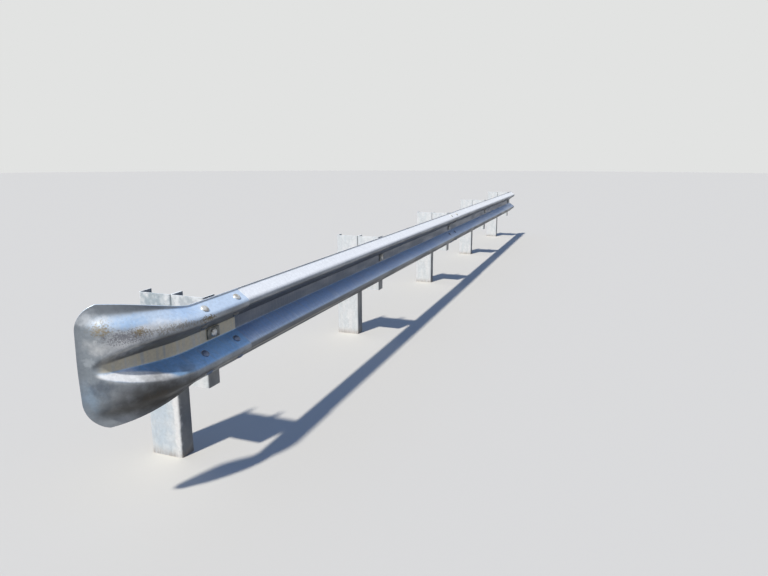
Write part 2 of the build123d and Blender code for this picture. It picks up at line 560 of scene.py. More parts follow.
    def outline(self) -> tuple[np.ndarray, np.ndarray]:
        """Place and height of every grid point, inside the rounded end's outline.

        Each station's heights are even between the limits that the two corners' arcs leave.
        Towards the free end the places are carried out by the end's bow, which falls in a
        straight line from the axis and is rounded over the bow's run.

        Returns:
            Places and heights, a row a station, from the lowest point up.
        """
        row = self.stations()
        swing = (self.length - row) / (self.arc_radius + self.rail.lip_reach)
        end = (self.arc_radius + self.rail.lip_reach) * np.sin(swing)
        edge = self.corners(row)[0][..., 4]
        share = np.linspace(-1, 1, self.columns)[None]
        limits = []
        for corner in (self.bottom_corner, self.top_corner):
            cut = corner - np.sqrt(np.maximum(0, corner**2 - np.maximum(0, corner - end) ** 2))
            limits.append(np.minimum(edge, self.half_height - cut)[:, None])
        height = share * np.where(share < 0, limits[0], limits[1])
        off, run = np.abs(height), self.bow_run
        fall = np.where(off > run, off, (off**2 / run + run) / 2) / self.half_height
        bow = self.end_bow * (1 - fall)
        carried = np.clip(1 - (self.length - row) / self.bottom_corner, 0, 1)[:, None] ** 2
        return row[:, None] + carried * bow, height

    def placed(self, place: np.ndarray, height: np.ndarray, depth: np.ndarray) -> np.ndarray:
        """Set points of the section into the part's frame.

        The section's middle runs straight with the rail's slant up to the bend, then round an
        arc whose turn is the distance past it over the radius at the lips' depth.

        Args:
            place: Distances from the bolt line.
            height: Heights from the axis, of the same shape.
            depth: Depths towards the road, of the same shape.

        Returns:
            The points, with x, y and z last.
        """
        rail = self.rail
        swing = np.maximum(0, place - self.bend_start) / (self.arc_radius + rail.lip_reach)
        turn = swing + math.atan2(rail.lap_step, rail.beam_pitch)
        x = rail.bolt_x - np.minimum(place, self.bend_start) - self.arc_radius * np.sin(swing)
        middle = rail.rear_at(-place, 1) - rail.slope_rise / 2
        y = middle + self.arc_radius * (1 - np.cos(swing))
        return np.stack(
            [x - depth * np.sin(turn), y - depth * np.cos(turn), rail.axis_height + height], axis=-1
        )

    def shell(self) -> Shell:
        """Lay out the front and the rear of the sheet and close them with a rounded rim.

        The front stands one wall off the rear line, square to it in the section. Along the
        border both are drawn in by half a wall, and three rows of points carry a half circle
        from the one to the other.

        Returns:
            The closed sheet.
        """
        wall = self.rail.wall
        place, height = self.outline()
        depth, slope = self.rear_depth(height, place)
        long = np.hypot(1, slope)
        rear = self.placed(place, height, depth)
        front = self.placed(place, height - wall * slope / long, depth + wall / long)
        rows, columns = height.shape
        i, j = np.arange(rows), np.arange(columns)
        row = np.concatenate([i, 0 * j[1:] + rows - 1, i[-2::-1], 0 * j[-2:0:-1]])
        column = np.concatenate([0 * i, j[1:], 0 * i[-2::-1] + columns - 1, j[-2:0:-1]])
        middle = (front + rear) / 2
        half = (front - rear)[row, column] / 2
        inside = np.clip(row, 1, rows - 2), np.clip(column, 1, columns - 2)
        out = middle[row, column] - middle[inside]
        out /= np.linalg.norm(out, axis=-1, keepdims=True)
        base = middle[row, column] - out * wall / 2
        turn = np.radians(self.rim_turns)[:, None, None]
        rings = base + half * np.cos(turn) + out * wall / 2 * np.sin(turn)
        front[row, column], rear[row, column] = rings[0], rings[-1]
        points = np.concatenate([part.reshape(-1, 3) for part in (front, rear, rings[1:-1])])
        edge, count = row * columns + column, len(row)
        between = 2 * rows * columns + np.arange(len(rings) - 2)[:, None] * count + np.arange(count)
        loops = np.stack([edge, *between, edge + rows * columns])
        after = np.roll(loops, -1, axis=1)
        rim = np.stack([loops[:-1], loops[1:], after[1:], after[:-1]], axis=-1).reshape(-1, 4)
        faces = grid_quads(rows, columns, closed=False)
        quads = np.concatenate([faces, faces[:, ::-1] + rows * columns, rim])
        return Shell(points, quads).outward()

    def build(self, material: Material) -> SceneObject:
        """Make the wing's sheet and let it stand for its CAD node.

        Args:
            material: The wing's finish.

        Returns:
            The sheet's object.
        """
        piece = self.shell().to_object("wing_sheet", material, "weathered_zinc", crease=60)
        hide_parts("wing_terminal")
        return piece


class Head(Enum):
    """The kinds of bolt head on the section."""

    BUTTON = "button"
    HEX = "hex"


@dataclass(frozen=True)
class Bolt:
    """One M16 bolt with its head, nut and round washers, on the z axis.

    Its origin is the face under the head, the head stands up from it, and the nut's inner
    face is one grip below. Its counts of steps are as low as still look round.

    Attributes:
        head: The kind of head.
        grip: Thickness of what the bolt holds.
        radius: Half the thread's outer diameter.
        head_radius: Radius of a button head.
        head_height: Height of a button head.
        head_rim: Height of the upright rim that it starts with.
        hex_height: Height of a hex head.
        chamfer_from: Share of the half width at which a chamfer starts.
        hex_width: Width across the flats of nut and hex head.
        nut_height: Height of the nut.
        washer_radius: Radius of a round washer.
        washer_height: Thickness of a round washer.
        washer_ease: How far its edges are eased.
        head_washer: Whether one lies under the head.
        nut_washer: Whether one lies under the nut.
        thread_pitch: From thread to thread.
        thread_depth: Depth of the thread.
        thread_left: Length that stands out past the nut.
        point_taper: How much the radius falls in the last pitch.
        pitches_hidden: Pitches drawn inside the nut and what the bolt holds.
        rows_per_pitch: Rings in each pitch.
        shank_sides: Steps round the shank.
        round_sides: Steps round a button head or washer.
        hex_sides: Steps round a hexagon, a multiple of six.
        dome_rows: Rings from a button head's top to its rim.
        dome_top: Turn of its ellipse at the ring next to the pole.
        chamfer: Angle of a chamfer's cone from the face.
    """

    head: Head = Head.BUTTON
    grip: float = 0.0054
    radius: float = 0.008
    head_radius: float = 0.0172
    head_height: float = 0.009
    head_rim: float = 0.0018
    hex_height: float = 0.010
    chamfer_from: float = 0.97
    hex_width: float = 0.024
    nut_height: float = 0.013
    washer_radius: float = 0.016
    washer_height: float = 0.003
    washer_ease: float = 0.0005
    head_washer: bool = False
    nut_washer: bool = False
    thread_pitch: float = 0.002
    thread_depth: float = 0.0006
    thread_left: float = 0.006
    point_taper: float = 0.0012
    pitches_hidden: int = 8
    rows_per_pitch: int = 6
    shank_sides: int = 20
    round_sides: int = 32
    hex_sides: int = 48
    dome_rows: int = 9
    dome_top: float = math.radians(88)
    chamfer: float = math.radians(30)

    def dome(self) -> Shell:
        """The button head: an ellipse's quarter above a short upright rim.

        Returns:
            The closed head.
        """
        turn = np.linspace(self.dome_top, 0, self.dome_rows)
        rise = self.head_rim + (self.head_height - self.head_rim) * np.sin(turn)
        top = np.stack([self.head_radius * np.cos(turn), rise], axis=-1).tolist()
        return turned([*top, (self.head_radius, 0.0)], self.round_sides)

    def hexagon(self, low: float, high: float, chamfer_up: bool) -> Shell:
        """A hexagon with one chamfered face, as on a nut or a hex head.

        At turn a the flat's distance is half the width over the cosine of a's offset from the
        flat's middle. The chamfer is a cone that starts at the flats, so that it takes more
        from the corners.

        Args:
            low: Height of the lower face.
            high: Height of the upper face.
            chamfer_up: Whether the upper face has the chamfer.

        Returns:
            The closed hexagon.
        """
        turn = np.arange(self.hex_sides) * 2 * np.pi / self.hex_sides
        offset = np.mod(turn, np.pi / 3) - np.pi / 6
        flat = self.hex_width / 2 + 0 * offset
        corner = flat / np.cos(offset)
        drop = (corner - self.chamfer_from * flat) * math.tan(self.chamfer)
        near, far, toward = (high, low, -1) if chamfer_up else (low, high, 1)
        radius = np.stack([self.chamfer_from * flat, corner, corner])
        height = np.stack([near + 0 * offset, near + toward * drop, far + 0 * offset])
        return closed_rings(radius, height, self.hex_sides)

    def ring(self, low: float) -> Shell:
        """A round washer whose lower face is at this height, with its edges eased.

        Args:
            low: Height of the lower face.

        Returns:
            The closed washer.
        """
        ease, high, r = self.washer_ease, low + self.washer_height, self.washer_radius
        profile = [(r - ease, high), (r, high - ease), (r, low + ease), (r - ease, low)]
        return turned(profile, self.round_sides)

    def shank(self, end: float) -> Shell:
        """The bolt's shank, with its thread and a tapered point.

        The radius falls by the thread's depth with a triangle wave of the turn and the height
        together, which makes the wave a helix, and the last pitch tapers.

        Args:
            end: Height of the point, below the head.

        Returns:
            The closed shank.
        """
        pitches = int(self.thread_left / self.thread_pitch + self.pitches_hidden)
        rows = self.rows_per_pitch * pitches + 1
        turn = np.arange(self.shank_sides) / self.shank_sides
        rise = np.linspace(end + pitches * self.thread_pitch, end, rows)[:, None]
        wave = np.abs(2 * np.mod(rise / self.thread_pitch + turn, 1) - 1)
        taper = self.point_taper * np.clip(1 - (rise - end) / self.thread_pitch, 0, 1)
        return closed_rings(self.radius - self.thread_depth * wave - taper, rise, self.shank_sides)

    def shell(self) -> Shell:
        """The whole bolt: head, washers, nut and threaded end.

        Returns:
            All its skins together.
        """
        parts = []
        lift = self.washer_height if self.head_washer else 0.0
        if self.head_washer:
            parts.append(self.ring(0.0))
        if self.head is Head.BUTTON:
            parts.append(self.dome())
        else:
            parts.append(self.hexagon(lift, lift + self.hex_height, chamfer_up=True))
        nut_top = -self.grip
        if self.nut_washer:
            parts.append(self.ring(nut_top - self.washer_height))
            nut_top -= self.washer_height
        parts.append(self.hexagon(nut_top - self.nut_height, nut_top, chamfer_up=False))
        parts.append(self.shank(nut_top - self.nut_height - self.thread_left))
        return Shell.joined(parts)


def facing_place(spot: Triple, axis: Triple, turn: float) -> Matrix:
    """A matrix that stands the z axis along a direction, at a spot, with a turn about it.

    Args:
        spot: Where the origin goes.
        axis: The direction of the new z axis.
        turn: The turn about it, in radians.

    Returns:
        The matrix.
    """
    tilt = Vector(axis).to_track_quat("Z", "X").to_matrix().to_4x4()
    return Matrix.Translation(spot) @ tilt @ Matrix.Rotation(turn, 4, "Z")


@dataclass(frozen=True)
class Fasteners:
    """All bolts of the section: eight at each lap, one at each plate washer and each spacer.

    The turns set each nut and head round a little further than the last, as a spanner leaves
    them.

    Attributes:
        rail: The sizes that it shares with the sheets and channels.
        splice_turn: Step of the turns among the bolts of a lap.
        post_head_radius: Radius of the heads on the plate washers.
        post_thread_left: Length that stands out past their nuts.
        post_turn: Step of their turns.
        joint_thread_left: Length that stands out past the nuts of the spacers' bolts.
        joint_turn: Step of their turns.
    """

    rail: Rail = Rail()
    splice_turn: float = 0.4
    post_head_radius: float = 0.0175
    post_thread_left: float = 0.012
    post_turn: float = 0.3
    joint_thread_left: float = 0.009
    joint_turn: float = 0.5

    def splice_shell(self, bolt_line: float) -> Shell:
        """The eight bolts of one lap, on the front face of its four slopes.

        Args:
            bolt_line: The x of the post bolt in the middle of the lap.

        Returns:
            All eight together.
        """
        rail = self.rail
        inner = ((rail.valley_half_width + rail.crest_inner_edge) / 2, 0.0, -1)
        crest_outer = rail.crest_spacing - rail.crest_inner_edge
        outer = (crest_outer + rail.outer_run / 2, (rail.slope_rise / 2 + rail.lip_reach) / 2, 1)
        places = []
        for column, reach in enumerate((-rail.splice_reach, rail.splice_reach)):
            rear = rail.rear_at(reach, 1)
            for row, (height, depth, rise) in enumerate((inner, outer)):
                for side in (1, -1):
                    axis = (0, -math.cos(rail.slope), side * rise * math.sin(rail.slope))
                    y = rear - depth - rail.slope_rise / 2 + axis[1] * rail.wall
                    z = rail.axis_height + side * height + axis[2] * rail.wall
                    turn = self.splice_turn * (1 + 2 * column + 3 * row + side)
                    places.append(facing_place((bolt_line + reach, y, z), axis, turn))
        return Bolt(grip=2 * rail.wall + rail.lap_play).shell().at_places(places)

    def at_post(self, bolt: Bolt, number: int, front: float, turn: float) -> Shell:
        """Set a bolt at the rail's height beside one post, with its head to the road.

        Args:
            bolt: The bolt.
            number: The post's number, from one.
            front: The y of the face under its head.
            turn: Its turn beside the first post, which grows by as much at each one.

        Returns:
            The bolt in its place.
        """
        rail = self.rail
        spot = (rail.bolt_x + (number - 1) * rail.bay, front, rail.axis_height)
        return bolt.shell().at_places([facing_place(spot, (0, -1, 0), turn * number)])

    def post_shell(self, number: int) -> Shell:
        """The bolt through one plate washer, the beam and the spacer's flange.

        Args:
            number: The post's number, from one.

        Returns:
            The bolt in its place.
        """
        rail = self.rail
        shift = rail.carried_shift(number)
        lap = rail.lap_step if number in rail.lapped_posts else 0.0
        front = rail.seat_y + shift - rail.wall - lap - rail.seat_play - rail.washer_thickness
        flange_inside = -3 * rail.channel_half_width + rail.spacer_wall + shift
        bolt = Bolt(
            grip=flange_inside - front,
            head_radius=self.post_head_radius,
            nut_washer=True,
            thread_left=self.post_thread_left,
        )
        return self.at_post(bolt, number, front, self.post_turn)

    def joint_shell(self, number: int) -> Shell:
        """The bolt that holds one spacer to its post.

        Args:
            number: The post's number, from one.

        Returns:
            The bolt in its place.
        """
        rail = self.rail
        bolt = Bolt(
            head=Head.HEX,
            grip=rail.post_wall + rail.spacer_wall,
            head_washer=True,
            nut_washer=True,
            thread_left=self.joint_thread_left,
        )
        front = -rail.channel_half_width - rail.spacer_wall + rail.carried_shift(number)
        return self.at_post(bolt, number, front, self.joint_turn)

    def build(self, material: Material) -> list[SceneObject]:
        """Make all bolts, joined by where they sit.

        Args:
            material: The bolts' finish.

        Returns:
            The bolts' objects.
        """
        rail = self.rail
        posts = range(1, rail.post_count + 1)
        shells = {
            "splice_bolts_1": self.splice_shell(rail.bolt_x),
            "splice_bolts_2": self.splice_shell(rail.bolt_x + rail.beam_pitch),
            "post_bolts": Shell.joined([self.post_shell(number) for number in posts]),
            "spacer_bolts": Shell.joined([self.joint_shell(number) for number in posts]),
        }
        return [shell.to_object(name, material, "washer_zinc") for name, shell in shells.items()]


class Facing(Enum):
    """The directions that a surface may face, as vectors in the part's frame.

    The sheets' front is every face of wing and beams that isn't their back. ANY has no length,
    so that every face's cosine to it is nought.
    """

    ANY = (0, 0, 0)
    SHEET_FRONT = (-0.35, -0.94, 0)
    UP = (0, 0, 1)
    DOWN = (0, 0, -1)
    ROAD = (0, -1, 0)
    WING_END = (-1, 0, 0)


def lumps(
    tree: NodeTree,
    spot: Socket,
    size_mm: Triple,
    step: Pair = (0.0, 1.0),
    top: float = 1.0,
    detail: float = 3.0,
) -> Socket:
    """Soft patches: noise with lumps of these sizes along x, y and z, read through a smooth step.

    Args:
        tree: The material's tree.
        spot: The point that the noise is read at.
        size_mm: The lumps' three sizes in millimetres.
        step: The readings of the noise that give none and the top.
        top: The top value.
        detail: How many finer octaves the noise has.

    Returns:
        The patches' value.
    """
    scale = tuple(1000 / size for size in size_mm)
    own = add_node(tree, "ShaderNodeMapping", {"Vector": spot, "Scale": scale})
    inputs = {"Vector": own.outputs["Vector"], "Scale": 1.0, "Detail": detail}
    noise = add_node(tree, "ShaderNodeTexNoise", inputs)
    low, high = step
    inputs = {"Value": noise.outputs["Fac"], "From Min": low, "From Max": high, "To Max": top}
    kind = "LINEAR" if step == (0.0, 1.0) else "SMOOTHSTEP"
    read = add_node(tree, "ShaderNodeMapRange", inputs, interpolation_type=kind)
    return read.outputs["Result"]


@dataclass(frozen=True)
class Tint:
    """A colour painted where a face looks one way between two heights: mostly painted light and shade,
    and dried soil on the posts' foot.

    Attributes:
        colour: sRGB hex.
        strength: The most that it covers.
        facing: The direction that it faces.
        faces: Cosines of the angle from that direction where it starts and where it is full.
        heights: Its lower and upper limits.
        soft: Half the height over which it fades at each limit.
        streaks: How much of it the streaks take away.
    """

    colour: str
    strength: float
    facing: Facing
    faces: Pair = (0.2, 0.6)
    heights: Pair = (-1.0, 2.0)
    soft: float = 0.02
    streaks: float = 0.0

    def share(self, tree: NodeTree, place: bpy.types.Node, streaks: Socket) -> Socket:
        """How much of it shows: its direction's share times that of its heights, less streaks.

        Args:
            tree: The material's tree.
            place: The texture coordinate node.
            streaks: The streaks' value.

        Returns:
            The share from none to the strength.
        """
        height = add_node(tree, "ShaderNodeSeparateXYZ", {0: place.outputs["Object"]}).outputs["Z"]
        inputs = {0: place.outputs["Normal"], 1: self.facing.value}
        toward = add_node(tree, "ShaderNodeVectorMath", inputs, operation="DOT_PRODUCT")
        low, high = self.heights
        windows = (
            (toward.outputs["Value"], *self.faces, self.strength),
            (height, low - self.soft, low + self.soft, 1.0),
            (height, high + self.soft, high - self.soft, 1.0),
        )
        inputs = {0: streaks, 1: -self.streaks, 2: 1.0}
        share = add_node(tree, "ShaderNodeMath", inputs, operation="MULTIPLY_ADD").outputs[0]
        for value, start, end, top in windows:
            inputs = {"Value": value, "From Min": start, "From Max": end, "To Max": top}
            step = add_node(tree, "ShaderNodeMapRange", inputs, interpolation_type="SMOOTHSTEP")
            inputs = {0: share, 1: step.outputs["Result"]}
            share = add_node(tree, "ShaderNodeMath", inputs, operation="MULTIPLY").outputs[0]
        return share


@dataclass(frozen=True)
class StainAndLightPatch:
    """A ragged patch of another colour inside an ellipsoid. Some are real stains, the others painted
    highlights, reflections and shade.

    Attributes:
        colour: sRGB hex.
        strength: The most that it covers.
        centre: The ellipsoid's middle.
        reach: Its three half lengths.
        ragged: How much noise breaks its edge.
        grain_mm: The size of that noise.
        full_at: Share of the half lengths inside which it is full.
        turn: The ellipsoid's turn about x, y and z.
    """

    colour: str
    strength: float
    centre: Triple
    reach: Triple
    ragged: float = 0.5
    grain_mm: float = 12.0
    full_at: float = 0.35
    turn: Triple = (0.0, 0.0, 0.0)

    def share(self, tree: NodeTree, spot: Socket) -> Socket:
        """How much of it shows: full where the distance in half lengths, plus noise, is small.

        Args:
            tree: The material's tree.
            spot: The point.

        Returns:
            The share from none to the strength.
        """
        inputs = {"Location": self.centre, "Rotation": self.turn, "Scale": self.reach}
        own = add_node(tree, "ShaderNodeMapping", inputs | {"Vector": spot}, vector_type="TEXTURE")
        far = add_node(tree, "ShaderNodeVectorMath", {0: own.outputs["Vector"]}, operation="LENGTH")
        grain = lumps(tree, spot, (self.grain_mm,) * 3, NOISE_RANGE, 2 * self.ragged, detail=4)
        inputs = {0: far.outputs["Value"], 1: grain}
        broken = add_node(tree, "ShaderNodeMath", inputs, operation="ADD")
        inputs = {
            "Value": broken.outputs[0],
            "From Min": 1 + self.ragged,
            "From Max": self.full_at + self.ragged,
            "To Max": self.strength,
        }
        full = add_node(tree, "ShaderNodeMapRange", inputs, interpolation_type="SMOOTHSTEP")
        return full.outputs["Result"]


@dataclass(frozen=True)
class ZincFinish:
    """Hot-dip galvanised steel: sheet or channel drawn from a bath of molten zinc.

    The zinc freezes in flat crystals, the spangle, and runs off in streaks; air and rain dull
    it in soft patches. To the eye it is a satin pale grey metal with weak cells, cloudy dull
    patches and fine lines the way it drained. Its skin of zinc carbonate scatters most of the
    light, so metallic comes down from the bare metal's 1, and the index stays the default.

    Attributes:
        name: The material's name.
        clean: sRGB hex of the fresh zinc.
        dull: sRGB hex of the weathered clouds.
        cloud_mm: Size of a cloud along x, y and z.
        cloud_step: Readings of the noise between which a cloud begins and is full.
        spangle_mm: Size of a crystal, which really is 3 to 12 mm.
        spangle_strength: How far a crystal's grey is from white.
        streak_mm: Size of a drain line. A real one is 1 to 2 mm wide, too fine to show, so it
            is drawn at 7 mm and more.
        streak_step: Readings between which a drain line begins and is full.
        streak_colour: sRGB hex of the drain lines.
        streak_strength: The most that they cover.
        speckle_mm: Size of a dirt speck. A real one is under 1 mm and is drawn at 3 mm.
        speckle_step: Readings between which a speck begins and is full.
        speckle_colour: sRGB hex of the specks.
        speckle_strength: The most that they cover.
        metallic: Share of mirror-like metal.
        smooth: Roughness of the fresh zinc.
        rough: Roughness of the clouds.
        wave_mm: Length of the rolled sheet's slow waves.
        wave_depth_mm: Their depth.
        grain_mm: Size of the zinc's grain. Real grain is near 0.5 mm and is drawn at 4 mm.
        grain_depth_mm: Its depth.
        marked_side: The side that tints and patches are on; the other keeps the plain zinc.
        marked_faces: Cosines to that side between which the marks begin and are whole.
        tints: Colours by the way a face looks, mostly painted light and shade.
        stains_and_light_patches: Patches in one place: real stains, and painted highlights, reflections
            and shade.
    """

    name: str
    clean: str = "#c0c6ca"
    dull: str = "#9da3a8"
    cloud_mm: Triple = (150, 110, 70)
    cloud_step: Pair = (0.36, 0.64)
    spangle_mm: float = 9.0
    spangle_strength: float = 0.06
    streak_mm: Triple = (7, 170, 170)
    streak_step: Pair = (0.42, 0.7)
    streak_colour: str = "#e2e7ea"
    streak_strength: float = 0.06
    speckle_mm: float = 3.0
    speckle_step: Pair = (0.6, 0.75)
    speckle_colour: str = "#55534f"
    speckle_strength: float = 0.15
    metallic: float = 0.3
    smooth: float = 0.34
    rough: float = 0.52
    wave_mm: float = 70.0
    wave_depth_mm: float = 0.6
    grain_mm: float = 4.0
    grain_depth_mm: float = 0.06
    marked_side: Facing = Facing.ANY
    marked_faces: Pair = (-0.15, -0.05)
    tints: tuple[Tint, ...] = ()
    stains_and_light_patches: tuple[StainAndLightPatch, ...] = ()

    def build(self) -> Material:
        """Make the node material: layers of colour, each over the last by its own share.

        Returns:
            The finish as a material.
        """
        material = bpy.data.materials.new(self.name)
        material.use_nodes = True
        tree = material.node_tree
        tree.nodes.clear()
        place = add_node(tree, "ShaderNodeTexCoord")
        spot = place.outputs["Object"]
        clouds = lumps(tree, spot, self.cloud_mm, self.cloud_step, detail=5)
        streaks = lumps(tree, spot, self.streak_mm, self.streak_step)
        inputs = {0: streaks, 1: self.streak_strength}
        thin = add_node(tree, "ShaderNodeMath", inputs, operation="MULTIPLY").outputs[0]
        size = (self.speckle_mm,) * 3
        specks = lumps(tree, spot, size, self.speckle_step, self.speckle_strength, detail=1)
        plain = [(clouds, self.dull), (thin, self.streak_colour), (specks, self.speckle_colour)]
        marks = [(tint.share(tree, place, streaks), tint.colour) for tint in self.tints]
        marks += [(stain.share(tree, spot), stain.colour) for stain in self.stains_and_light_patches]
        colours = [linear(self.clean)]
        for share, paint in plain + marks:
            inputs = {MIX_SHARE: share, MIX_UNDER: colours[-1], MIX_OVER: linear(paint)}
            layer = add_node(tree, "ShaderNodeMix", inputs, data_type="RGBA")
            colours.append(layer.outputs[MIX_RESULT])
        side = self.on_marked_side(tree, place)
        inputs = {MIX_SHARE: side, MIX_UNDER: colours[len(plain)], MIX_OVER: colours[-1]}
        colour = add_node(tree, "ShaderNodeMix", inputs, data_type="RGBA").outputs[MIX_RESULT]
        inputs = {MIX_SHARE: 1.0, MIX_UNDER: colour, MIX_OVER: self.spangle(tree, spot)}
        mixed = add_node(tree, "ShaderNodeMix", inputs, data_type="RGBA", blend_type="MULTIPLY")
        inputs = {"Value": clouds, "To Min": self.smooth, "To Max": self.rough}
        inputs = {
            "Base Color": mixed.outputs[MIX_RESULT],
            "Roughness": add_node(tree, "ShaderNodeMapRange", inputs).outputs["Result"],
            "Metallic": self.metallic,
            "Normal": self.relief(tree, spot),
        }
        shader = add_node(tree, "ShaderNodeBsdfPrincipled", inputs)
        add_node(tree, "ShaderNodeOutputMaterial", {"Surface": shader.outputs["BSDF"]})
        return material

    def on_marked_side(self, tree: NodeTree, place: bpy.types.Node) -> Socket:
        """One where the face looks to the marked side or square to it, and none behind it.

        Args:
            tree: The material's tree.
            place: The texture coordinate node.

        Returns:
            The share that the marks keep.
        """
        inputs = {0: place.outputs["Normal"], 1: self.marked_side.value}
        toward = add_node(tree, "ShaderNodeVectorMath", inputs, operation="DOT_PRODUCT")
        low, high = self.marked_faces
        inputs = {"Value": toward.outputs["Value"], "From Min": low, "From Max": high}
        return add_node(tree, "ShaderNodeMapRange", inputs).outputs["Result"]

    def spangle(self, tree: NodeTree, spot: Socket) -> Socket:
        """The zinc's crystals as cells with one grey each, a little over or under white.

        Args:
            tree: The material's tree.
            spot: The point.

        Returns:
            The grey that multiplies the colour.
        """
        inputs = {"Vector": spot, "Scale": 1000 / self.spangle_mm}
        cells = add_node(tree, "ShaderNodeTexVoronoi", inputs)
        split = add_node(tree, "ShaderNodeSeparateColor", {"Color": cells.outputs["Color"]})
        low, high = 1 - self.spangle_strength, 1 + self.spangle_strength
        inputs = {"Value": split.outputs[0], "To Min": low, "To Max": high}
        grey = add_node(tree, "ShaderNodeMapRange", inputs).outputs["Result"]
        return add_node(tree, "ShaderNodeCombineColor", {k: grey for k in range(3)}).outputs[0]

    def relief(self, tree: NodeTree, spot: Socket) -> Socket:
        """The surface's relief: slow waves of the rolled sheet under the grain of the zinc.

        Args:
            tree: The material's tree.
            spot: The point.

        Returns:
            The bumped normal.
        """
        inputs = {"Height": lumps(tree, spot, (self.wave_mm,) * 3, detail=1), "Strength": 1.0}
        waves = add_node(tree, "ShaderNodeBump", inputs | {"Distance": self.wave_depth_mm / 1000})
        inputs = {"Height": lumps(tree, spot, (self.grain_mm,) * 3, detail=2), "Strength": 1.0}
        inputs |= {"Distance": self.grain_depth_mm / 1000, "Normal": waves.outputs["Normal"]}
        return add_node(tree, "ShaderNodeBump", inputs).outputs["Normal"]


AXIS = Rail().axis_height

# Every face's cosine to a direction without length is nought, which is past both of these.
ALL_ROUND = (-0.2, -0.1)

# Turns that lay a long painted highlight along the lower crest's strip, and along the upper crest.
STRIP_TURN = (0.0, 0.215, -0.614)
FOLD_TURN = (0.0, 0.0, -0.4)

# In the finishes below, a tint gives its colour, strength, facing, cosines, heights, softness
# and streaks, and a patch its colour, strength, middle, half lengths, raggedness, grain, full
# share and turn. Both follow the part and not the camera, so they stay put from any side. Most
# of them are painted light and shade: highlights, sky reflections and shade, fixed on the part.

# Rolled sheet steel, folded, then galvanised: long soft clouds along the rail and drain lines
# down it. Its folds read as bands of painted light and shade: a painted highlight on the upper
# slope, a painted blue sky reflection with paler painted glints on the slope under the valley,
# painted shade in the valley and on the lower crest, and near black painted shade underneath.
BEAM_ZINC = ZincFinish(
    name="beam_galvanised_sheet",
    clean="#b6bcc2",
    dull="#a4aab0",
    cloud_mm=(300, 80, 60),
    marked_side=Facing.SHEET_FRONT,
    tints=(
        # Painted shade, dark blue-grey, in the valley.
        Tint("#4f5c73", 0.75, Facing.ROAD, (0.6, 0.95), (AXIS - 0.035, AXIS + 0.035), 0.01, 0.1),
        # Painted shade on the lower crest's front.
        Tint("#54575b", 0.6, Facing.ROAD, (0.3, 0.7), (0.3, AXIS - 0.085), 0.01),
        # Painted shade, near black, on every face turned down.
        Tint("#303238", 0.87, Facing.DOWN, (0.1, 0.6)),
        # Painted reflection of a blue sky on the slope under the valley.
        Tint("#8db4e6", 0.86, Facing.UP, (0.25, 0.7), (AXIS - 0.13, AXIS - 0.025), 0.01, 0.3),
        # Painted glints, paler blue, near the lower bend.
        Tint("#dceafb", 0.42, Facing.UP, (0.2, 0.6), (AXIS - 0.13, AXIS - 0.07), 0.016, -1.5),
        # Painted highlight, near white, on the upper slope.
        Tint("#f8fbfe", 0.95, Facing.UP, (0.05, 0.5), (AXIS + 0.07, 2.0), 0.02, 0.06),
    ),
)
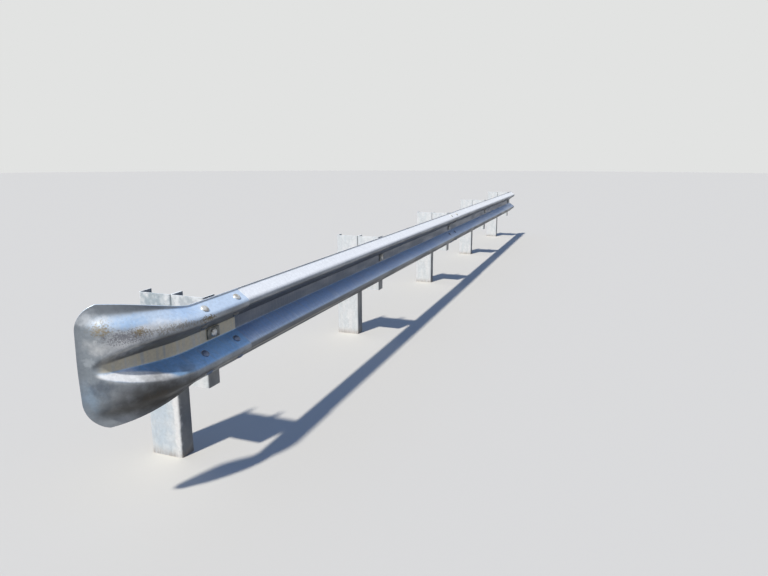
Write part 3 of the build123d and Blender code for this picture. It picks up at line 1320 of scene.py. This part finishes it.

# The same sheet, pressed into the wing, then galvanised, with rust specks along the folds and a
# straw-coloured dust film in the valley, lightened there as painted light. Over these lie painted
# highlights and blue sky reflections on the crests and slopes, a painted highlight strip on the
# lower crest, and painted shade on the faces turned down or away from the lamp.
WING_ZINC = ZincFinish(
    name="wing_galvanised_sheet",
    clean="#bec3c6",
    dull="#a5aaae",
    streak_mm=(12, 170, 170),
    marked_side=Facing.SHEET_FRONT,
    tints=(
        # Painted shade on the faces turned to the free end.
        Tint("#7f8a94", 0.7, Facing.WING_END, (0.55, 0.8)),
        # Painted shade, grey-blue, on the top margin.
        Tint("#717b86", 0.68, Facing.ROAD, (0.5, 0.9), (0.765, 2.0), 0.012),
        # Straw-coloured dust in the valley, lightened as painted light.
        Tint("#cfc7b0", 0.9, Facing.ROAD, (0.6, 0.9), (AXIS - 0.03, AXIS + 0.03), 0.008, 0.8),
        # Painted shade, brown-grey, on the faces turned down in the upper half.
        Tint("#5b5145", 0.72, Facing.DOWN, (0.15, 0.75), (AXIS, 1.0), 0.02),
        # Painted shade, near black, on the faces turned down in the lower half.
        Tint("#363534", 0.7, Facing.DOWN, (0.0, 0.8), (0.3, AXIS), 0.02),
        # Painted reflection of a blue sky on the slope under the valley.
        Tint("#8fc3f4", 0.92, Facing.UP, (0.25, 0.7), (AXIS - 0.12, AXIS - 0.015), 0.01, 0.2),
        # Painted highlight, blue-white, on the upper slope.
        Tint("#cfe4fb", 0.85, Facing.UP, (0.1, 0.5), (AXIS + 0.07, 2.0), 0.02, 0.06),
    ),
    stains_and_light_patches=(
        # Lower crest: a painted pale blue reflection, a painted blue gleam and, between them, a painted
        # highlight strip where the lamp catches the bend.
        StainAndLightPatch("#dfeaff", 0.7, (-0.405, -0.205, 0.557), (0.065, 0.04, 0.015), 0.1, 16, 0.3),
        StainAndLightPatch("#a9d2fd", 0.6, (-0.20, -0.31, 0.515), (0.10, 0.035, 0.022), 0.3, 14, 0.0),
        StainAndLightPatch("#fafcfd", 0.97, (-0.372, -0.238, 0.534), (0.155, 0.06, 0.019), 0.03, 20, 0.7, STRIP_TURN),
        # Upper crest, from its corner to the lap: painted silver highlights, with painted blue sky
        # reflections between.
        StainAndLightPatch("#e3e9ee", 0.8, (-0.475, -0.125, 0.765), (0.05, 0.06, 0.045), 0.2, 20, 0.0),
        StainAndLightPatch("#f4f8fb", 0.85, (-0.30, -0.287, 0.700), (0.13, 0.06, 0.03), 0.2, 20, 0.2, FOLD_TURN),
        StainAndLightPatch("#f4f7fa", 0.85, (-0.36, -0.262, 0.714), (0.055, 0.04, 0.015), 0.2, 14, 0.1),
        StainAndLightPatch("#eef4fb", 0.6, (-0.31, -0.286, 0.722), (0.05, 0.04, 0.02), 0.2, 16, 0.0),
        StainAndLightPatch("#a9cef6", 0.5, (-0.17, -0.30, 0.735), (0.12, 0.08, 0.045), 0.2, 25, 0.0),
        StainAndLightPatch("#a6cbf2", 0.6, (-0.385, -0.232, 0.735), (0.085, 0.08, 0.035), 0.25, 14, 0.0),
        StainAndLightPatch("#f2f7fa", 0.7, (-0.455, -0.175, 0.757), (0.045, 0.05, 0.022), 0.2, 16, 0.0),
        StainAndLightPatch("#eceeee", 0.85, (-0.43, -0.22, 0.662), (0.14, 0.15, 0.06), 0.2, 30, 0.0),
        # The flat end: a painted highlight at the pocket, a painted blue-grey reflection below it and
        # painted shade where it curves.
        StainAndLightPatch("#b4bcc2", 0.7, (-0.487, -0.135, 0.612), (0.018, 0.03, 0.025), 0.3, 12),
        StainAndLightPatch("#94a9bd", 0.7, (-0.485, -0.12, 0.48), (0.05, 0.07, 0.08), 0.2, 30, 0.0),
        StainAndLightPatch("#3f4d60", 0.6, (-0.472, -0.16, 0.515), (0.05, 0.07, 0.045), 0.2, 20, 0.0),
        # Lower crest's underside: painted shade, near black, with a brown patch.
        StainAndLightPatch("#393734", 0.94, (-0.30, -0.28, 0.445), (0.27, 0.20, 0.125), 0.1, 50, 0.2),
        StainAndLightPatch("#4d4232", 0.35, (-0.33, -0.27, 0.452), (0.10, 0.06, 0.025), 0.4, 14),
        # Upper crest's front: grey specks, two straw patches and rust along the fold to the lap.
        StainAndLightPatch("#6f6c78", 0.6, (-0.405, -0.235, 0.69), (0.085, 0.07, 0.024), 0.7, 5),
        StainAndLightPatch("#8f7c52", 0.75, (-0.464, -0.18, 0.727), (0.038, 0.05, 0.03), 0.45, 8, 0.0),
        StainAndLightPatch("#8f7c50", 0.8, (-0.37, -0.257, 0.702), (0.028, 0.035, 0.018), 0.45, 7, 0.0),
        StainAndLightPatch("#8d8068", 0.5, (-0.25, -0.30, 0.69), (0.14, 0.06, 0.014), 0.8, 7),
        StainAndLightPatch("#76653c", 0.85, (-0.085, -0.335, 0.684), (0.055, 0.03, 0.013), 0.6, 7),
    ),
)

# Channel steel, galvanised after folding and hardly weathered: nearly white zinc with small
# cool mottles, painted shade on its flanges to the road, and soil dried on its foot.
POST_ZINC = ZincFinish(
    name="post_galvanised_channel",
    clean="#f6f9fa",
    dull="#e6ecef",
    cloud_mm=(60, 45, 110),
    streak_mm=(9, 9, 200),
    spangle_mm=12.0,
    spangle_strength=0.05,
    metallic=0.2,
    tints=(
        # Painted shade on the faces turned to the road.
        Tint("#565a5e", 0.7, Facing.ROAD, (0.4, 0.9)),
        Tint("#a08b72", 0.6, Facing.ANY, ALL_ROUND, (-0.1, 0.02), 0.03, 0.6),
    ),
    stains_and_light_patches=(
        # On the first post and spacer: a pale blue patch, two darker mottled tops and a painted
        # highlight down the web's edge.
        StainAndLightPatch("#b9d2e6", 0.5, (0.0, 0.02, 0.22), (0.05, 0.11, 0.36), 0.15, 45, 0.1),
        StainAndLightPatch("#98acb6", 0.75, (0.0, 0.0, 0.70), (0.05, 0.11, 0.09), 0.35, 26, 0.0),
        StainAndLightPatch("#b4bec4", 0.7, (0.0, -0.165, 0.70), (0.05, 0.10, 0.09), 0.35, 26, 0.0),
        StainAndLightPatch("#fdfefe", 0.9, (0.0, -0.066, 0.22), (0.03, 0.022, 0.34), 0.2, 30),
    ),
)

# Cut plate, galvanised in a drum with other small pieces: a dull, dark, even grey.
WASHER_ZINC = ZincFinish(
    name="washer_galvanised_plate",
    clean="#8f918c",
    dull="#6d6f6a",
    cloud_mm=(20, 20, 20),
)

# Forged bolts and nuts, dipped and spun: brighter than the sheet, with fine crystals, and
# painted shade where they sit in the folds, dark blue below the valley and dark grey above it.
BOLT_ZINC = ZincFinish(
    name="bolt_galvanised_steel",
    clean="#d8dcde",
    dull="#aca9a2",
    cloud_mm=(12, 12, 12),
    spangle_mm=4.0,
    metallic=0.5,
    tints=(
        # Painted shade, dark blue, on the bolts below the valley.
        Tint("#566b8f", 0.85, Facing.ROAD, (-0.1, 0.2), (0.0, AXIS - 0.03), 0.01),
        # Painted shade, dark grey, on the bolts of the upper inner slope.
        Tint("#55585c", 0.85, Facing.ROAD, (-0.1, 0.2), (AXIS + 0.02, AXIS + 0.08), 0.01),
    ),
)


@dataclass(frozen=True)
class DressedSolids:
    """The CAD nodes of one kind, whose shape stays and whose finish is laid on here.

    Attributes:
        prefixes: How the names of the nodes begin.
        finish: The finish that they wear.
    """

    prefixes: tuple[str, ...]
    finish: ZincFinish

    def dress(self, nodes: dict[str, SceneObject], material: Material | None = None) -> list[str]:
        """Put the finish into every material slot of the nodes.

        Args:
            nodes: The CAD nodes by name.
            material: The finish, where it is already built.

        Returns:
            The names of the nodes that wear it.
        """
        worn = material or self.finish.build()
        names = [name for name in sorted(nodes) if name.startswith(self.prefixes)]
        for name in names:
            for slot in nodes[name].material_slots:
                slot.material = worn
        return names


@dataclass(frozen=True)
class Studio:
    """A pale floor under one soft high lamp, with a cool fill that comes mostly from above.

    Attributes:
        floor_radius: Radius of the floor.
        floor_sides: Corners of its edge.
        floor_seen: sRGB hex of the floor as the camera and reflections see it.
        floor_bounce: sRGB hex of the floor for the light that it sends back up.
        background: sRGB hex of what stands behind everything.
        fill_above: sRGB hex of the fill from straight above.
        fill_level: sRGB hex of the fill from the horizon and below.
        fill_strength: Strength of the fill.
        fill_full_at: Height of a ray, as a sine, from which the fill is wholly that from above.
        lamp_strength: The lamp's energy.
        lamp_colour: sRGB hex of its light.
        lamp_from: The direction that it shines from.
        lamp_spread: The angle that it fills, which softens the shadows.
    """

    floor_radius: float = 60.0
    floor_sides: int = 96
    floor_seen: str = "#c4c2bb"
    floor_bounce: str = "#4a453d"
    background: str = "#e2e3e2"
    fill_above: str = "#95b3ea"
    fill_level: str = "#4c4e52"
    fill_strength: float = 0.75
    fill_full_at: float = 0.9
    lamp_strength: float = 4.2
    lamp_colour: str = "#fffaf2"
    lamp_from: Triple = (-0.57, 0.185, 0.83)
    lamp_spread: float = math.radians(3)

    def seen(self, tree: NodeTree) -> Socket:
        """One for rays from the camera and for mirrored or refracted ones, else none.

        Args:
            tree: The tree of the floor's material or of the world.

        Returns:
            The larger of the three kinds' shares.
        """
        path = add_node(tree, "ShaderNodeLightPath").outputs
        inputs = {0: path["Is Camera Ray"], 1: path["Is Glossy Ray"]}
        first = add_node(tree, "ShaderNodeMath", inputs, operation="MAXIMUM").outputs[0]
        inputs = {0: first, 1: path["Is Transmission Ray"]}
        return add_node(tree, "ShaderNodeMath", inputs, operation="MAXIMUM").outputs[0]

    def build_floor(self) -> SceneObject:
        """Lay the floor: a flat disc, pale to look at, which sends little light back up.

        Returns:
            The floor's object.
        """
        turn = np.arange(self.floor_sides) * 2 * np.pi / self.floor_sides
        rim = np.stack([np.cos(turn), np.sin(turn), 0 * turn], axis=-1) * self.floor_radius
        mesh = bpy.data.meshes.new("floor")
        mesh.from_pydata(rim.tolist(), [], [list(range(self.floor_sides))])
        material = bpy.data.materials.new("pale_floor")
        material.use_nodes = True
        tree = material.node_tree
        tree.nodes.clear()
        bounce, seen = linear(self.floor_bounce), linear(self.floor_seen)
        inputs = {MIX_SHARE: self.seen(tree), MIX_UNDER: bounce, MIX_OVER: seen}
        colour = add_node(tree, "ShaderNodeMix", inputs, data_type="RGBA").outputs[MIX_RESULT]
        shader = add_node(tree, "ShaderNodeBsdfDiffuse", {"Color": colour})
        add_node(tree, "ShaderNodeOutputMaterial", {"Surface": shader.outputs[0]})
        mesh.materials.append(material)
        floor = bpy.data.objects.new("floor", mesh)
        bpy.context.scene.collection.objects.link(floor)
        return floor

    def build_light(self) -> None:
        """Hang the lamp and set the world's fill and pale background."""
        lamp = bpy.data.lights.new("key_lamp", "SUN")
        lamp.energy = self.lamp_strength
        lamp.angle = self.lamp_spread
        lamp.color = linear(self.lamp_colour)[:3]
        key = bpy.data.objects.new("key_lamp", lamp)
        key.rotation_euler = Vector(self.lamp_from).to_track_quat("Z", "Y").to_euler()
        bpy.context.scene.collection.objects.link(key)
        world = bpy.data.worlds.new("studio")
        world.use_nodes = True
        tree = world.node_tree
        tree.nodes.clear()
        way = add_node(tree, "ShaderNodeTexCoord").outputs["Generated"]
        height = add_node(tree, "ShaderNodeSeparateXYZ", {"Vector": way}).outputs["Z"]
        inputs = {"Value": height, "From Min": 0.0, "From Max": self.fill_full_at}
        share = add_node(tree, "ShaderNodeMapRange", inputs, interpolation_type="SMOOTHSTEP")
        level, above = linear(self.fill_level), linear(self.fill_above)
        inputs = {MIX_SHARE: share.outputs["Result"], MIX_UNDER: level, MIX_OVER: above}
        fill = add_node(tree, "ShaderNodeMix", inputs, data_type="RGBA").outputs[MIX_RESULT]
        inputs = {"Color": fill, "Strength": self.fill_strength}
        around = add_node(tree, "ShaderNodeBackground", inputs)
        inputs = {"Color": linear(self.background), "Strength": 1.0}
        behind = add_node(tree, "ShaderNodeBackground", inputs)
        inputs = {0: self.seen(tree), 1: around.outputs[0], 2: behind.outputs[0]}
        both = add_node(tree, "ShaderNodeMixShader", inputs)
        add_node(tree, "ShaderNodeOutputWorld", {"Surface": both.outputs[0]})
        bpy.context.scene.world = world
        bpy.context.scene.view_settings.view_transform = "Standard"


@dataclass(frozen=True)
class PhotoCamera:
    """The camera at the photograph's viewpoint, fitted to the posts and the rail.

    Its lens is the focal length in pixels, over the picture's width in pixels, times the
    sensor's width in millimetres.

    Attributes:
        spot: Where it stands.
        looks_down: Its angle below the horizon, in radians.
        turned_left: Its angle to the left of +X, in radians.
        focal_pixels: The focal length in pixels.
        image_width: The picture's width in pixels.
        sensor: The sensor's width in millimetres.
    """

    spot: Triple = (-1.9243, -1.7334, 1.2921)
    looks_down: float = 0.2172
    turned_left: float = 0.3528
    focal_pixels: float = 589.8
    image_width: int = 768
    sensor: float = 36.0

    def build(self) -> SceneObject:
        """Place the camera and make it the scene's.

        Returns:
            The camera's object.
        """
        lens = bpy.data.cameras.new("photo_camera")
        lens.sensor_width = self.sensor
        lens.lens = self.focal_pixels / self.image_width * self.sensor
        camera = bpy.data.objects.new("photo_camera", lens)
        camera.location = self.spot
        camera.rotation_euler = (math.pi / 2 - self.looks_down, 0, self.turned_left - math.pi / 2)
        bpy.context.scene.collection.objects.link(camera)
        bpy.context.scene.camera = camera
        return camera


def main() -> None:
    """Build the camera, the pieces, their finishes and the studio, in that order."""
    logging.basicConfig(level=logging.INFO, format="%(name)s: %(message)s")
    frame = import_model()
    PhotoCamera().build()
    weathered = WING_ZINC.build()
    for piece in [Wing().build(weathered), *Fasteners().build(BOLT_ZINC.build())]:
        worn = piece.active_material.name
        LOG.info("%s: %d faces in %s", piece.name, len(piece.data.polygons), worn)
    kinds = (
        (DressedSolids(("wing",), WING_ZINC), weathered),
        (DressedSolids(("beam",), BEAM_ZINC), None),
        (DressedSolids(("post", "spacer"), POST_ZINC), None),
        (DressedSolids(("plate_washer",), WASHER_ZINC), None),
    )
    for solids, material in kinds:
        LOG.info("%s: %s", solids.finish.name, ", ".join(solids.dress(frame["nodes"], material)))
    studio = Studio()
    LOG.info("%s laid", studio.build_floor().name)
    studio.build_light()


if __name__ == "__main__":
    main()
